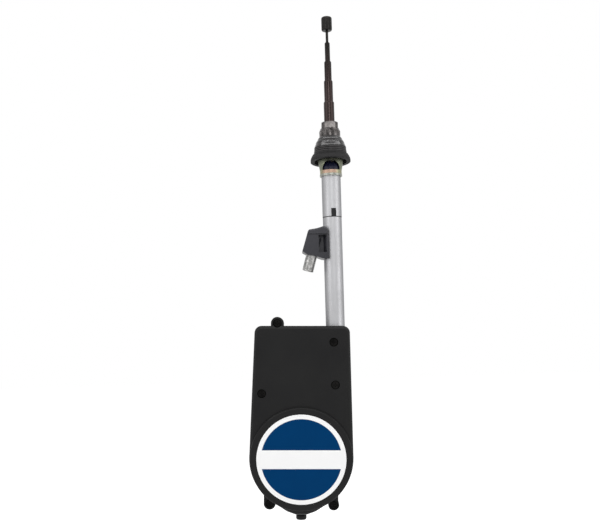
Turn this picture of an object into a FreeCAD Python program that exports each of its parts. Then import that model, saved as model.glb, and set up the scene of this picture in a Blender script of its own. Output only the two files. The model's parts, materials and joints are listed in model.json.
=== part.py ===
import FreeCAD, Part
import math
import os

# Motor-driven telescopic car antenna, millimetres.
# Row frame: +Z runs up along the mast, the origin lies on the mast axis where the fender gasket
# meets the fender, +X is to the right and -Y is the front, where the round label is.

# Mast: five telescopic stages, outer radius and height of each top in the rest pose.
KNOB_R = 4.75
KNOB_TOP_Z = 130.2
KNOB_LOW_Z = 118.1
KNOB_ROUND = 1.2
ROD_R = 1.2
STAGE_1_R = 2.3
STAGE_1_TOP_Z = 107.6
STAGE_2_R = 3.2
STAGE_2_TOP_Z = 90.5
STAGE_3_R = 3.95
STAGE_3_TOP_Z = 73.1
STAGE_4_R = 4.7
STAGE_4_TOP_Z = 54.0
STAGE_WALL = 0.35
STAGE_MOUTH_GAP = 0.08
STAGE_MOUTH_LENGTH = 2.0
STAGE_SHOULDER = 0.8
BUSH_GAP = 0.05
BUSH_LENGTH = 8.0
STROKE_PER_REACH = 9.3
STAGE_OVERLAP = 12.0

# Head, from the nut down to the gasket.
NUT_TOP_Z = 35.3
NUT_LOW_Z = 24.5
NUT_FLAT_LOW_Z = 29.6
NUT_CONE_LOW_Z = 27.2
NUT_ACROSS_FLATS = 14.6
NUT_CORNER_R = 8.5
NUT_CORNER_DROP = 0.4
NUT_FLANGE_R = 9.45
NUT_TOP_WALL = 1.8
NUT_CHAMFER = 1.0
NUT_MAST_GAP = 0.3
THREAD_R = 6.6
THREAD_GAP = 0.05
KNURL_COUNT = 36
KNURL_DEPTH = 0.35
WASHER_R = 9.45
WASHER_LOW_Z = 22.1
DOME_PROFILE = (
    (9.7, 22.1), (11.7, 19.8), (12.4, 18.4), (12.95, 16.8), (13.6, 15.1), (14.3, 13.2), (14.3, 12.5),
)
DOME_WALL = 1.6
DOME_CROWN_DROP = 1.0
RIB_PROFILE = (
    (13.9, 12.5), (14.3, 12.1), (14.3, 11.2), (13.9, 10.9),
    (14.5, 10.5), (14.5, 9.6), (14.1, 9.3), (14.7, 8.9),
)
BORE_GAP = 0.25
SEAT_R = 22.9
SEAT_CROWN_Z = 12.9
SWIVEL_Z = SEAT_CROWN_Z - SEAT_R
SEAT_GAP = 0.3
GASKET_EDGE_R = 15.2
GASKET_PROFILE = (
    (16.1, 6.2), (15.9, 5.9), (16.9, 5.0), (16.8, 4.6),
    (17.55, 3.6), (17.95, 1.8), (18.0, 0.4), (17.6, -3.0),
)
GASKET_WALL = 3.2
GASKET_BORE_R = 9.4
GASKET_HOLLOW_R = 14.6
GASKET_WEDGE_DEG = 4.0

# Claw, ball insulator and collar under the fender.
CLAW_TOP_Z = 2.0
CLAW_TOP_HALF_X = 11.5
CLAW_TOP_HALF_Y = 8.4
CLAW_WALL = 1.3
CLAW_RING_R = 9.75
CLAW_RING_TOP_Z = -8.2
CLAW_RING_LOW_Z = -11.4
CLAW_RING_BORE_R = 8.8
CLAW_WINDOW_HALF_X = 7.6
CLAW_WINDOW_TOP_Z = 0.7
CLAW_TOOTH = 1.1
CLAW_TOOTH_COUNT = 5
CLAW_TOOTH_SHARE = 0.8
BALL_R = 8.6
BALL_Z = -7.0
BALL_LOW_Z = -16.0
BALL_FOOT_LAP = 0.5
NECK_FLANGE_R = 7.0
NECK_FLANGE_LOW_Z = -0.4
NECK_FLANGE_TOP_Z = 1.2
NECK_TOP_Z = 31.0
COLLAR_R = 10.0
COLLAR_LOW_Z = -13.2

# Mast tube.
SLEEVE_R = 8.6
TUBE_R = 8.48
TUBE_WALL = 0.85
SEAM_Z = -49.9
SEAM_GAP = 0.2
NOTCH_WIDTH = 4.4
NOTCH_TOP_Z = -42.5
NOTCH_TURN_DEG = 8.0
KEY_GAP = 0.1
KEY_SUNK = 0.35
KEY_ROOT = 0.5
SIDE_SLOT_Z = -68.1
SIDE_SLOT_HEIGHT = 5.3
SIDE_SLOT_WIDTH = 2.2
SIDE_SLOT_BACK_Y = -0.4
CONTACT_R = 5.5
CONTACT_WALL = 0.3
CONTACT_TOP_Z = 29.0
LINER_GAP = 0.05

# Aerial socket on the side of the tube.
SOCKET_LEAN_DEG = 15.9
SOCKET_END_X = -23.4
SOCKET_END_Z = -97.5
SOCKET_LENGTH = 30.0
SOCKET_R = 5.0
SOCKET_RIM = 0.3
SOCKET_BORE_R = 4.55
SOCKET_MOUTH_DEPTH = 9.0
SOCKET_INNER_R = 4.3
SOCKET_BORE_DEPTH = 15.0
SOCKET_CONTACT_R = 1.5
SOCKET_CONTACT_BORE_R = 0.9
SOCKET_CONTACT_OUT = 5.5
BLOCK_OUTLINE = (
    (-21.2, -61.1), (-14.3, -60.1), (-9.8, -58.8), (-7.8, -58.3), (-5.4, -59.9), (-4.1, -62.6),
    (-4.2, -87.5), (-10.2, -87.1), (-15.5, -85.0), (-24.3, -82.7), (-27.9, -80.4), (-22.2, -62.1),
)
BLOCK_FRONT_Y = -10.4
BLOCK_BACK_Y = 9.4
BLOCK_ROUND = 1.6
BLOCK_TUBE_GAP = 0.15
POCKET_X = (-13.0, -5.9)
POCKET_Z = (-81.6, -66.0)
POCKET_FLOOR_Y = -4.2
POCKET_WALL = 0.9
BOSS_R = 6.2
ROOF_LEDGE_Z = -65.0
ROOF_LEDGE_STEP = 0.9
STRAP_R = 10.3
STRAP_Z = (-74.0, -64.0)
STRAP_END_DEG = 38.0
FEED_R = 0.6
FEED_RISE = 1.2
FEED_HOLE_R = 1.6
FEED_END_GAP = 0.02

# Motor and drum housing, in its own level frame: origin at the drum centre.
# The drum is as large as its case allows, and the mast comes down at the cable's pitch radius.
DRUM_CASE_R = 46.2
DRUM_FLANGE_R = DRUM_CASE_R - 8.7
CABLE_PITCH_R = DRUM_FLANGE_R - 3.5
HOUSING_X = -CABLE_PITCH_R
HOUSING_Z = -263.9
HOUSING_LEAN_DEG = 1.667
CASE_TOP_Z = 117.4
CASE_LEFT_TOP_X = -41.2
CASE_RIGHT_TOP_X = CABLE_PITCH_R + 8.8
CASE_CORNER_R = 6.3
# Half widths of the sump and how far each lies below the drum case.
SUMP_STEPS = ((22.6, 0.0), (12.7, 2.2), (5.0, 3.5))
SUMP_LIFT_SHARE = 1.05
SUMP_SQUEEZE_SHARE = 0.4
CORNER_SHRINK_SHARE = 0.8
FACE_Y = -15.5
FACE_ROUND = 3.0
DISC_Y = -18.5
DISC_R = DRUM_CASE_R - 0.7
DISC_ROUND = 1.2
BACK_Y = 29.0
BACK_ROUND = 3.0
CASE_WALL = 2.5
LABEL_R = DISC_R - 6.0
LABEL_THICKNESS = 0.7
LABEL_SUNK = 0.4
LABEL_GAP = 0.2
SEAL_INSET = 0.75
SEAL_WIDTH = 1.0
SEAL_THICKNESS = 1.0
SEAL_GAP = 0.05
# Screw ears: one above the case, two beside the drum by direction, distance past its case and radius.
TOP_EAR = (-21.4, 119.7, 5.7)
DRUM_EARS = ((-124.78, 3.23, 5.3), (-55.43, 4.56, 4.9))
EAR_FRONT_Y = -9.0
EAR_BACK_Y = 6.0
# Neck of each ear from its centre: left, right, down and up.
EAR_NECKS = ((-5.7, 5.7, -7.7, 0.0), (-5.2, 4.2, 0.0, 10.6), (-4.8, 4.1, 0.0, 8.8))
FACE_SCREWS = ((CABLE_PITCH_R - 5.4, 103.0), (CABLE_PITCH_R - 4.0, 65.3), (11.2 - DRUM_CASE_R, 57.6))
SCREW_HEAD_R = 3.6
SCREW_HEAD_ROUND = 0.6
SCREW_CROSS_SHARE = 0.6
SCREW_END_GAP = 0.5
SCREW_HEAD_HEIGHT = 1.8
SCREW_SHANK_R = 1.5
SCREW_RECESS_GAP = 0.3
SCREW_RECESS_DEPTH = 2.2
SCREW_SLOT_WIDTH = 0.9
SCREW_SLOT_DEPTH = 0.8
SCREW_SHANK_GAP = 0.05
SCREW_BOSS_R = 5.2
SCREW_BOSS_LOW_Y = -10.8
FACE_SCREW_LENGTH = 4.0
EAR_SCREW_LENGTH = 11.5
NIPPLE_Y = 6.5
NIPPLE_R = 4.2
NIPPLE_BEAD_R = 4.8
NIPPLE_LOW_Z = -DRUM_CASE_R - 11.7
NIPPLE_CHAMFER = 1.0
NIPPLE_BEAD_HEIGHT = 2.4
NIPPLE_LAP = 1.5
NIPPLE_BORE_R = 2.4

# Tube fixing and cable guide inside the housing.
TUBE_LOW_Z = HOUSING_Z + 58.9
MAST_HOLE_REACH = 40.0
CLAMP_HALF_X = 8.2
CLAMP_Z = (HOUSING_Z + 59.9, HOUSING_Z + 109.9)
CLAMP_BACK_Y = -3.5
CLAMP_GAP = 0.03
CRADLE_Z = (HOUSING_Z + 98.9, HOUSING_Z + 66.9)
CRADLE_THICKNESS = 3.0
CRADLE_FRONT_Y = 2.0
TUBE_HOLE_GAP = 0.2
GUIDE_LOW_Z = HOUSING_Z + 25.4
GUIDE_HALF = 4.5
GUIDE_FLANGE_THICKNESS = 3.0
GUIDE_SPIGOT_LENGTH = 6.0
GUIDE_BORE_R = 1.7

# Cable, drum and worm drive.
CABLE_R = 1.25
CABLE_SIDES = 12
CABLE_TURN_PITCH = 2.9
CABLE_TURNS = 3.4
CABLE_DRUM_GAP = 0.15
CABLE_END_GAP = 0.1
FERRULE_LENGTH = 8.0
DRUM_BACK_Y = 3.1
DRUM_FRONT_Y = -13.9
DRUM_FLANGE_THICKNESS = 1.4
DRUM_RIM_THICKNESS = 2.4
DRUM_HUB_R = 8.0
DRUM_WEB_Y = (-7.0, -5.0)
DRUM_HOLE_COUNT = 6
DRUM_HOLE_WALL = 0.6
DRUM_SEAT_R = 18.0
DRUM_SEAT_BACK_Y = 6.0
SPIGOT_R = 7.0
SPIGOT_BACK_Y = 19.0
AXLE_R = 3.0
AXLE_GAP = 0.05
AXLE_END_GAP = 0.3
AXLE_FRONT_WALL = 1.2
AXLE_BOSS_R = 6.0
LINING_R = 17.0
WHEEL_MODULE = 0.8
WHEEL_TEETH = 50
WHEEL_Y = 11.5
WHEEL_WIDTH = 6.0
WHEEL_TOOTH_ROOT_SHARE = 0.58
WHEEL_TOOTH_TIP_SHARE = 0.22
WHEEL_FOOT = 1.15
SPRING_R = 12.5
SPRING_THICKNESS = 0.8
SPRING_RISE = 1.6
RING_R = 9.0
RING_THICKNESS = 1.0
RING_GROOVE_DEPTH = 0.6
RING_OPENING = 3.0
WORM_PITCH_R = 4.0
WORM_HALF_LENGTH = 9.0
WORM_ROOT_R = 2.9
WORM_TIP_R = 4.7
WORM_THREAD_ROOT = 1.15
WORM_THREAD_TIP = 0.55
WORM_THREAD_SUNK = 0.2
SHAFT_R = 1.6
SHAFT_GAP = 0.05
SHAFT_LOW_Z = -15.0
FOOT_BUSH_R = 4.0
FOOT_BUSH_Z = (-16.5, -11.0)
FOOT_BUSH_FLOOR = 1.0
FOOT_BLOCK_HALF = 5.5
FOOT_BLOCK_FRONT = 4.5
SHELF_HOLE_GAP = 1.0

# Motor.
MOTOR_R = 13.5
MOTOR_LOW_Z = 39.0
MOTOR_TOP_Z = 90.0
MOTOR_WALL = 1.0
MOTOR_CAP_HEIGHT = 4.0
MOTOR_CAP_SPIGOT = 3.0
MOTOR_CAP_LIP = 1.0
MOTOR_CAP_TOP = 1.5
MOTOR_NECK_OUT = 2.0
MOTOR_NECK_IN = 3.0
SHAFT_TOP_GAP = 0.5
MAGNET_R = (9.4, 12.3)
MAGNET_Z = (47.0, 77.0)
MAGNET_HALF_DEG = 62.0
CORE_R = 8.8
CORE_Z = (48.0, 74.0)
CORE_SLOTS = 5
CORE_SLOT_WIDTH = 2.0
CORE_SLOT_DEPTH = 4.5
COMMUTATOR_R = 4.0
COMMUTATOR_TOP_Z = 84.0
SHELF_Z = (36.0, 39.0)
SHELF_X = (-DRUM_CASE_R + 3.2, -9.0)
SHELF_FRONT_Y = 4.5
LUG_R = 4.0
LUG_TOP_Y = -10.8
LUG_LOW_Y = -0.2
LUG_WEB_X = (5.6 - DRUM_CASE_R, 9.7 - DRUM_CASE_R)
LUG_WEB_Y = (-6.0, 3.0)
LUG_FOOT_X = -DRUM_CASE_R + 3.7
LUG_WEB_HALF_Z = 2.5

# Circuit board and supply lead grommet.
BOARD_X = (-6.0, 17.0)
BOARD_Z = (52.0, 108.0)
BOARD_Y = 8.0
BOARD_THICKNESS = 1.6
BOARD_POSTS = ((-2.5, 56.5), (13.5, 103.5))
BOARD_POST_R = 3.0
RELAY_X = (-3.5, 14.5)
RELAY_Z = (78.0, 94.0)
RELAY_HEIGHT = 15.0
RELAY_ROUND = 0.8
GROMMET_X = 5.5
GROMMET_Z = 68.0
GROMMET_R = 4.5
GROMMET_LIP_R = 6.5
GROMMET_LIP = 1.5
GROMMET_NOSE_R = 3.2
GROMMET_NOSE_OUT = 8.0
GROMMET_GAP = 0.1

V = FreeCAD.Vector
X_AXIS = V(1, 0, 0)
Y_AXIS = V(0, 1, 0)
Z_AXIS = V(0, 0, 1)
FULL_TURN = 360.0
# Overrun of a cutter past the face it opens, and how near two values count as the same.
PAST = 1.0
NEAR = 0.001

CONTACT_BORE_R = CONTACT_R - CONTACT_WALL
LINER_R = TUBE_R - TUBE_WALL - LINER_GAP
LINER_BORE_R = CONTACT_R + LINER_GAP
BALL_SPIGOT_R = LINER_R
DRUM_CORE_R = CABLE_PITCH_R - CABLE_R - CABLE_DRUM_GAP
WHEEL_PITCH_R = WHEEL_MODULE * WHEEL_TEETH / 2
WORM_LEAD = math.pi * WHEEL_MODULE
WORM_X = -(WHEEL_PITCH_R + WORM_PITCH_R)


# Shared shapes.
def turned(points, turn=FULL_TURN):
    """Solid of revolution about Z of a closed (radius, height) outline."""
    corners = [V(r, 0, z) for r, z in points]
    face = Part.Face(Part.makePolygon(corners + [corners[0]]))
    return face.revolve(V(0, 0, 0), Z_AXIS, turn)


def rod(radius, z_low, z_top, x=0.0, y=0.0):
    """Upright cylinder."""
    return Part.makeCylinder(radius, z_top - z_low, V(x, y, z_low))


def tube(radius, bore_r, z_low, z_top):
    """Upright tube on the mast axis."""
    return turned(((bore_r, z_low), (radius, z_low), (radius, z_top), (bore_r, z_top)))


def block(x_span, y_span, z_span):
    """Box between two values on each axis."""
    corner = V(x_span[0], y_span[0], z_span[0])
    return Part.makeBox(x_span[1] - x_span[0], y_span[1] - y_span[0], z_span[1] - z_span[0], corner)


def front_pin(radius, y_front, y_back, x=0.0, z=0.0):
    """Cylinder that runs from front to back."""
    return Part.makeCylinder(radius, y_back - y_front, V(x, y_front, z), Y_AXIS)


def laid_back(shape):
    """Turns a shape made about Z so that its upper end points to the back, +Y."""
    shape.rotate(V(0, 0, 0), X_AXIS, -90)
    return shape


def slab(points, y_front, y_back):
    """Plate with a polygon outline in X and Z."""
    corners = [V(x, y_front, z) for x, z in points]
    face = Part.Face(Part.makePolygon(corners + [corners[0]]))
    return face.extrude(V(0, y_back - y_front, 0))


def joined(shapes):
    """One solid from pieces that meet."""
    whole = shapes[0]
    for shape in shapes[1:]:
        whole = whole.fuse(shape)
    return whole.removeSplitter()


def housed(shape):
    """Moves a shape from the housing's level frame to the row frame."""
    shape.rotate(V(0, 0, 0), Y_AXIS, HOUSING_LEAN_DEG)
    shape.translate(V(HOUSING_X, 0, HOUSING_Z))
    return shape


def unhoused(shape):
    """Moves a shape from the row frame to the housing's level frame."""
    shape.translate(V(-HOUSING_X, 0, -HOUSING_Z))
    shape.rotate(V(0, 0, 0), Y_AXIS, -HOUSING_LEAN_DEG)
    return shape


def edges_on_plane(shape, y):
    """Edges of a shape that lie in the plane of a given Y."""
    return [
        e for e in shape.Edges
        if abs(e.BoundBox.YMin - y) < NEAR and abs(e.BoundBox.YMax - y) < NEAR
    ]


# Mast.
def stage_low_z(mouth_z, top_z):
    """Foot of a stage: its outward stroke and an overlap below the mouth that it runs out of."""
    return mouth_z - STROKE_PER_REACH * (top_z - mouth_z) - STAGE_OVERLAP


def mast_stage(radius, top_z, low_z, inner_r):
    """Drawn tube whose mouth is rolled in to guide the next stage."""
    mouth_r = inner_r + STAGE_MOUTH_GAP
    bore_r = radius - STAGE_WALL
    lip_r = (radius + mouth_r) / 2
    return turned((
        (bore_r, low_z),
        (radius, low_z),
        (radius, top_z - STAGE_SHOULDER),
        (lip_r, top_z),
        (mouth_r, top_z),
        (mouth_r, top_z - STAGE_MOUTH_LENGTH),
        (bore_r, top_z - STAGE_MOUTH_LENGTH - STAGE_SHOULDER),
    ))


def guide_bush(radius, outer_bore_r, low_z):
    """Brass bush on the foot of a stage, a running fit in the tube around it."""
    return tube(outer_bore_r - BUSH_GAP, radius, low_z, low_z + BUSH_LENGTH)


STAGE_4_LOW_Z = stage_low_z(NUT_TOP_Z, STAGE_4_TOP_Z)
STAGE_3_LOW_Z = stage_low_z(STAGE_4_TOP_Z, STAGE_3_TOP_Z)
STAGE_2_LOW_Z = stage_low_z(STAGE_3_TOP_Z, STAGE_2_TOP_Z)
STAGE_1_LOW_Z = stage_low_z(STAGE_2_TOP_Z, STAGE_1_TOP_Z)
ROD_LOW_Z = stage_low_z(STAGE_1_TOP_Z, KNOB_LOW_Z)


def tip_knob():
    """Rounded knob on the end of the rod."""
    knob = rod(KNOB_R, KNOB_LOW_Z, KNOB_TOP_Z)
    knob = knob.makeFillet(KNOB_ROUND, [e for e in knob.Edges if e.Length > KNOB_R * math.pi])
    return knob.cut(rod(ROD_R, KNOB_LOW_Z - PAST, KNOB_LOW_Z + KNOB_R))


def tip_rod():
    """Thin rod that carries the knob."""
    return rod(ROD_R, ROD_LOW_Z + FERRULE_LENGTH / 2, KNOB_LOW_Z + KNOB_R)


def cable_ferrule():
    """Crimped sleeve that joins the rod's foot to the drive cable."""
    radius = STAGE_1_R - STAGE_WALL - BUSH_GAP
    body = rod(radius, ROD_LOW_Z, ROD_LOW_Z + FERRULE_LENGTH)
    body = body.cut(rod(ROD_R, ROD_LOW_Z + FERRULE_LENGTH / 2, ROD_LOW_Z + FERRULE_LENGTH + PAST))
    return body.cut(rod(CABLE_R, ROD_LOW_Z - PAST, ROD_LOW_Z + FERRULE_LENGTH / 4))


def cap_nut():
    """Nut with four spanner flats, a cone and a knurled flange, threaded on the neck."""
    body = turned((
        (0, NUT_LOW_Z),
        (NUT_FLANGE_R, NUT_LOW_Z),
        (NUT_FLANGE_R, NUT_CONE_LOW_Z),
        (NUT_CORNER_R, NUT_FLAT_LOW_Z - NUT_CORNER_DROP),
        (NUT_CORNER_R, NUT_TOP_Z - NUT_CHAMFER),
        (NUT_CORNER_R - NUT_CHAMFER, NUT_TOP_Z),
        (0, NUT_TOP_Z),
    ))
    half = NUT_ACROSS_FLATS / 2
    keep = block((-half, half), (-half, half), (NUT_FLAT_LOW_Z, NUT_TOP_Z + PAST))
    ring = rod(NUT_FLANGE_R + PAST, NUT_FLAT_LOW_Z, NUT_TOP_Z + PAST).cut(keep)
    body = body.cut(ring)
    for i in range(KNURL_COUNT):
        groove = Part.makeCylinder(
            KNURL_DEPTH, NUT_FLAT_LOW_Z - NUT_LOW_Z, V(NUT_FLANGE_R, 0, NUT_LOW_Z), Z_AXIS
        )
        groove.rotate(V(0, 0, 0), Z_AXIS, i * FULL_TURN / KNURL_COUNT)
        body = body.cut(groove)
    body = body.cut(rod(THREAD_R + THREAD_GAP, NUT_LOW_Z - PAST, NUT_TOP_Z - NUT_TOP_WALL))
    return body.cut(rod(STAGE_4_R + NUT_MAST_GAP, NUT_LOW_Z, NUT_TOP_Z + PAST))


def nut_washer():
    """Flat washer between nut and domed cap."""
    return tube(WASHER_R, THREAD_R + BORE_GAP, WASHER_LOW_Z, NUT_LOW_Z)


def threaded_neck():
    """Threaded tube that the nut pulls up, flanged under the head."""
    bore_r = CONTACT_R + LINER_GAP
    return turned((
        (bore_r, NECK_FLANGE_LOW_Z),
        (NECK_FLANGE_R, NECK_FLANGE_LOW_Z),
        (NECK_FLANGE_R, NECK_FLANGE_TOP_Z),
        (THREAD_R, NECK_FLANGE_TOP_Z),
        (THREAD_R, NECK_TOP_Z),
        (bore_r, NECK_TOP_Z),
    ))


def domed_cap():
    """Hollow domed cap that the nut presses down."""
    inside = [(r - DOME_WALL, z) for r, z in DOME_PROFILE[1:]]
    inside.append((inside[-1][0], DOME_PROFILE[-1][1]))
    top_z = DOME_PROFILE[0][1]
    bore_r = THREAD_R + BORE_GAP
    outline = [(bore_r, top_z)] + list(DOME_PROFILE)
    outline += [(r, z) for r, z in reversed(inside[:-1])]
    outline += [(bore_r, top_z - DOME_WALL - DOME_CROWN_DROP)]
    return turned(outline)


def seat_height(radius, sphere_r):
    """Height of a swivel sphere at a distance from the mast axis."""
    return SWIVEL_Z + math.sqrt(sphere_r ** 2 - radius ** 2)


def ribbed_ring():
    """Ribbed spacer whose hollow underside turns on the gasket's round crown."""
    bore_r = THREAD_R + BORE_GAP
    foot_r = RIB_PROFILE[-1][0]
    foot_z = seat_height(foot_r, SEAT_R + SEAT_GAP)
    outline = [(bore_r, RIB_PROFILE[0][1])] + list(RIB_PROFILE)
    outline += [(foot_r, foot_z - PAST), (bore_r, foot_z - PAST)]
    ring = turned(outline)
    return ring.cut(Part.makeSphere(SEAT_R + SEAT_GAP, V(0, 0, SWIVEL_Z)))


def fender_gasket():
    """Wedge-shaped rubber gasket: a round crown, a stepped skirt and a hollow underside."""
    edge_z = seat_height(GASKET_EDGE_R, SEAT_R)
    low_z = GASKET_PROFILE[-1][1]
    skirt = turned([(0, low_z), (0, edge_z), (GASKET_EDGE_R, edge_z)] + list(GASKET_PROFILE))
    crown = Part.makeSphere(SEAT_R, V(0, 0, SWIVEL_Z))
    crown = crown.common(rod(GASKET_EDGE_R, edge_z - PAST, SEAT_R))
    body = joined([skirt, crown])
    hollow = Part.makeSphere(SEAT_R - GASKET_WALL, V(0, 0, SWIVEL_Z))
    hollow = hollow.common(rod(GASKET_HOLLOW_R, low_z - PAST, SEAT_R))
    body = body.cut(hollow)
    body = body.cut(rod(GASKET_BORE_R, low_z - PAST, SEAT_R))
    wide = 2 * SEAT_R
    below = block((-wide, wide), (-wide, wide), (-wide, 0))
    below.rotate(V(0, 0, 0), X_AXIS, -GASKET_WEDGE_DEG)
    return body.cut(below)


# Claw, ball and collar.
def ellipse_wire(half_x, half_y, z):
    """Closed ellipse in a level plane."""
    if abs(half_x - half_y) < NEAR:
        return Part.Wire(Part.Circle(V(0, 0, z), Z_AXIS, half_x).toShape())
    return Part.Wire(Part.Ellipse(V(0, 0, z), half_x, half_y).toShape())


def claw_loft(ring_r, half_x, half_y):
    """Flared solid from a circle at the ring to an ellipse at the toothed rim."""
    foot = ellipse_wire(ring_r, ring_r, CLAW_RING_TOP_Z)
    rim = ellipse_wire(half_x, half_y, CLAW_TOP_Z)
    return Part.makeLoft([foot, rim], True, True)


def claw_bracket():
    """Sheet-steel stirrup: ring at the foot, flared cage with two arched windows, toothed rim."""
    cage = claw_loft(CLAW_RING_R, CLAW_TOP_HALF_X, CLAW_TOP_HALF_Y)
    hollow = claw_loft(CLAW_RING_BORE_R, CLAW_TOP_HALF_X - CLAW_WALL, CLAW_TOP_HALF_Y - CLAW_WALL)
    ring = tube(CLAW_RING_R, CLAW_RING_BORE_R, CLAW_RING_LOW_Z, CLAW_RING_TOP_Z)
    body = joined([cage.cut(hollow), ring])
    half = CLAW_WINDOW_HALF_X
    wide = 2 * CLAW_TOP_HALF_X
    spring_z = CLAW_WINDOW_TOP_Z - half
    window = block((-half, half), (-wide, wide), (CLAW_RING_TOP_Z, spring_z + NEAR))
    arch = front_pin(half, -wide, wide, 0, spring_z)
    arch = arch.common(block((-half, half), (-wide, wide), (CLAW_RING_TOP_Z, CLAW_TOP_Z)))
    body = body.cut(joined([window, arch]))
    span = 2 * CLAW_TOP_HALF_Y * CLAW_TOOTH_SHARE
    front_part = block((-half, half), (-wide, wide), (CLAW_RING_LOW_Z, CLAW_TOP_Z + CLAW_TOOTH))
    for i in range(CLAW_TOOTH_COUNT):
        y = -span / 2 + (i + 0.5) * span / CLAW_TOOTH_COUNT
        nick = block((-wide, wide), (-CLAW_TOOTH / 2, CLAW_TOOTH / 2), (-CLAW_TOOTH / 2, CLAW_TOOTH / 2))
        nick.rotate(V(0, 0, 0), X_AXIS, 45)
        nick.translate(V(0, y, CLAW_TOP_Z))
        body = body.cut(nick.cut(front_part))
    return body


def ball_insulator():
    """Navy ball between neck and tube, its foot plugged into the sleeve."""
    ball = Part.makeSphere(BALL_R, V(0, 0, BALL_Z))
    ball = ball.common(rod(BALL_R + PAST, CLAW_RING_LOW_Z, NECK_FLANGE_LOW_Z))
    foot = rod(BALL_SPIGOT_R, BALL_LOW_Z, CLAW_RING_LOW_Z + BALL_FOOT_LAP)
    body = joined([ball, foot])
    return body.cut(rod(CONTACT_R + LINER_GAP, BALL_LOW_Z - PAST, NECK_TOP_Z))


def sleeve_collar():
    """Dark collar between claw and sleeve."""
    return tube(COLLAR_R, BALL_SPIGOT_R + LINER_GAP, COLLAR_LOW_Z, CLAW_RING_LOW_Z)


# Mast tube.
def notch_block(z_low, z_top, gap):
    """Block through the front of the sleeve, just right of its middle, smaller by a gap at each side."""
    half = NOTCH_WIDTH / 2 - gap
    notch = block((-half, half), (-SLEEVE_R - PAST, 0), (z_low, z_top))
    notch.rotate(V(0, 0, 0), Z_AXIS, NOTCH_TURN_DEG)
    return notch


def upper_sleeve():
    """Aluminium sleeve from the collar to the seam."""
    body = tube(SLEEVE_R, LINER_R + LINER_GAP, SEAM_Z + SEAM_GAP / 2, COLLAR_LOW_Z)
    return body.cut(notch_block(SEAM_Z - PAST, NOTCH_TOP_Z, 0.0))


def feed_hole():
    """Hole through the left side of the tube for the feed wire."""
    return Part.makeCylinder(FEED_HOLE_R, SLEEVE_R + PAST, V(-SLEEVE_R - PAST, 0, FEED_Z), X_AXIS)


def lower_tube():
    """Aluminium tube from the seam into the housing."""
    body = tube(TUBE_R, TUBE_R - TUBE_WALL, TUBE_LOW_Z, SEAM_Z - SEAM_GAP / 2)
    half_z = SIDE_SLOT_HEIGHT / 2
    slot = block(
        (0, TUBE_R + PAST), (SIDE_SLOT_BACK_Y - SIDE_SLOT_WIDTH, SIDE_SLOT_BACK_Y),
        (SIDE_SLOT_Z - half_z, SIDE_SLOT_Z + half_z),
    )
    return body.cut(slot).cut(feed_hole())


def insulating_liner():
    """Black plastic tube between contact tube and aluminium, with a key in the sleeve's notch."""
    body = tube(LINER_R, LINER_BORE_R, TUBE_LOW_Z, BALL_LOW_Z)
    key = tube(SLEEVE_R - KEY_SUNK, LINER_R - KEY_ROOT, SEAM_Z + KEY_GAP, NOTCH_TOP_Z - KEY_GAP)
    key = key.common(notch_block(SEAM_Z, NOTCH_TOP_Z, KEY_GAP))
    return joined([body, key]).cut(feed_hole())


def contact_tube():
    """Thin brass tube that the mast runs in and that leads the signal to the socket."""
    return tube(CONTACT_R, CONTACT_BORE_R, TUBE_LOW_Z, CONTACT_TOP_Z)


# Aerial socket.
def socket_x(along):
    """X of the point on the socket's axis at a distance from its open end."""
    return SOCKET_END_X + along * math.sin(math.radians(SOCKET_LEAN_DEG))


def socket_z(along):
    """Z of the point on the socket's axis at a distance from its open end."""
    return SOCKET_END_Z + along * math.cos(math.radians(SOCKET_LEAN_DEG))


FEED_Z = socket_z(SOCKET_LENGTH + FEED_RISE)


def along_socket(shape):
    """Puts a shape made along +Z from the socket's open end onto the socket's axis."""
    shape.rotate(V(0, 0, 0), Y_AXIS, SOCKET_LEAN_DEG)
    shape.translate(V(SOCKET_END_X, 0, SOCKET_END_Z))
    return shape


def socket_barrel():
    """Nickelled barrel, open at its lower end."""
    return along_socket(turned((
        (SOCKET_BORE_R, 0),
        (SOCKET_R - SOCKET_RIM, 0),
        (SOCKET_R, SOCKET_RIM),
        (SOCKET_R, SOCKET_LENGTH),
        (SOCKET_INNER_R, SOCKET_LENGTH),
        (SOCKET_INNER_R, SOCKET_MOUTH_DEPTH),
        (SOCKET_BORE_R, SOCKET_MOUTH_DEPTH),
    )))


def socket_insulator():
    """Plastic plug that holds the centre contact in the barrel."""
    radius = SOCKET_INNER_R - LINER_GAP
    return along_socket(tube(radius, SOCKET_CONTACT_R + LINER_GAP, SOCKET_BORE_DEPTH, SOCKET_LENGTH))


def socket_contact():
    """Hollow centre contact."""
    low = SOCKET_BORE_DEPTH - SOCKET_CONTACT_OUT
    body = rod(SOCKET_CONTACT_R, low, SOCKET_LENGTH)
    return along_socket(body.cut(rod(SOCKET_CONTACT_BORE_R, low - PAST, SOCKET_BORE_DEPTH)))


def feed_wire():
    """Wire from the centre contact through the tube wall to the contact tube."""
    start = V(socket_x(SOCKET_LENGTH), 0, socket_z(SOCKET_LENGTH))
    bend = V(socket_x(SOCKET_LENGTH + FEED_RISE), 0, FEED_Z)
    end = V(-CONTACT_R - FEED_END_GAP, 0, FEED_Z)
    return joined([wire_run(start, bend), Part.makeSphere(FEED_R, bend), wire_run(bend, end)])


def wire_run(start, end):
    """Round wire between two points."""
    along = end - start
    return Part.makeCylinder(FEED_R, along.Length, start, along)


def strap_behind():
    """Half ring that holds the block on the tube from behind."""
    low, high = STRAP_Z
    strap = tube(STRAP_R, TUBE_R + BLOCK_TUBE_GAP, low, high)
    start = math.radians(STRAP_END_DEG)
    far = 3 * STRAP_R
    wedge = slab_level(
        ((0, 0), (far * math.cos(start), far * math.sin(start)), (far, far), (-far, far), (-far, 0)),
        low - PAST, high + PAST,
    )
    return strap.common(wedge)


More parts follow.
